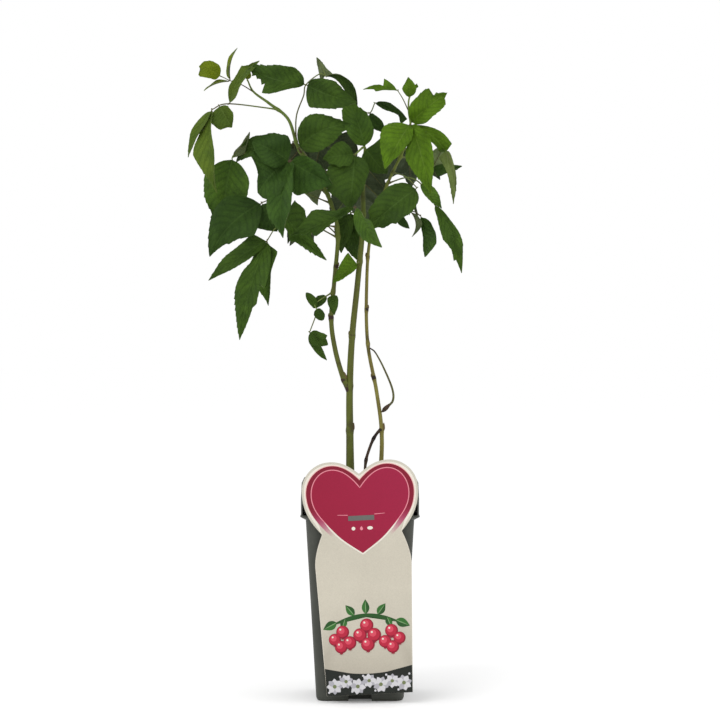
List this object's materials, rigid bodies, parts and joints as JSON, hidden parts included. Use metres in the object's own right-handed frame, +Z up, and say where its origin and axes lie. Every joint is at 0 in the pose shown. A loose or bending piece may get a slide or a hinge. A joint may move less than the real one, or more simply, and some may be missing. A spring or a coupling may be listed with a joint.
{
  "type": "raspberry cane in a pot",
  "caption": "Young raspberry plant of slim upright canes with drooping, toothed compound leaves, in a tall square pot with a heart-topped picture card standing before it.",
  "frame": {"origin": "middle of the pot's flat underside, on the ground", "axes": "+Z up the canes, -Y towards the pot's front, where the card stands"},
  "size_m": [0.2315, 0.1512, 0.5405],
  "materials": {
    "pot_plastic": "satin",
    "compost": "matte",
    "card": "satin",
    "green_cane": "matte",
    "dead_wood": "matte",
    "bright_leaf": "matte",
    "light_leaf": "matte",
    "green_leaf": "matte",
    "dark_leaf": "matte"
  },
  "bodies": {
    "root": {"pot": "pot_plastic", "compost": "compost", "heart_card": "card", "main_cane": "green_cane", "left_cane": "green_cane", "right_cane": "green_cane", "dry_stalk": "dead_wood", "dead_twig": "dead_wood", "left_tip_leaves": "light_leaf", "left_droop_leaves": "light_leaf", "upper_left_leaves": "green_leaf", "upper_centre_leaves": "green_leaf", "centre_leaves": "green_leaf", "left_middle_leaves": "dark_leaf", "left_outer_leaves": "dark_leaf", "left_low_leaves": "dark_leaf", "left_centre_leaves": "green_leaf", "left_hanging_leaves": "dark_leaf", "centre_front_leaves": "green_leaf", "right_front_leaves": "green_leaf", "right_tip_leaves": "bright_leaf", "right_outer_leaves": "dark_leaf", "right_hanging_leaves": "dark_leaf", "right_small_leaves": "dark_leaf", "upper_dark_leaves": "dark_leaf", "low_sprig_leaves": "green_leaf", "low_centre_leaves": "bright_leaf", "inner_leaves": "green_leaf", "back_left_leaves": "dark_leaf", "back_centre_leaves": "dark_leaf", "back_right_leaves": "dark_leaf", "back_low_left_leaves": "dark_leaf", "back_low_right_leaves": "dark_leaf", "back_top_leaves": "dark_leaf", "back_upper_leaves": "dark_leaf"}
  },
  "joints": []
}
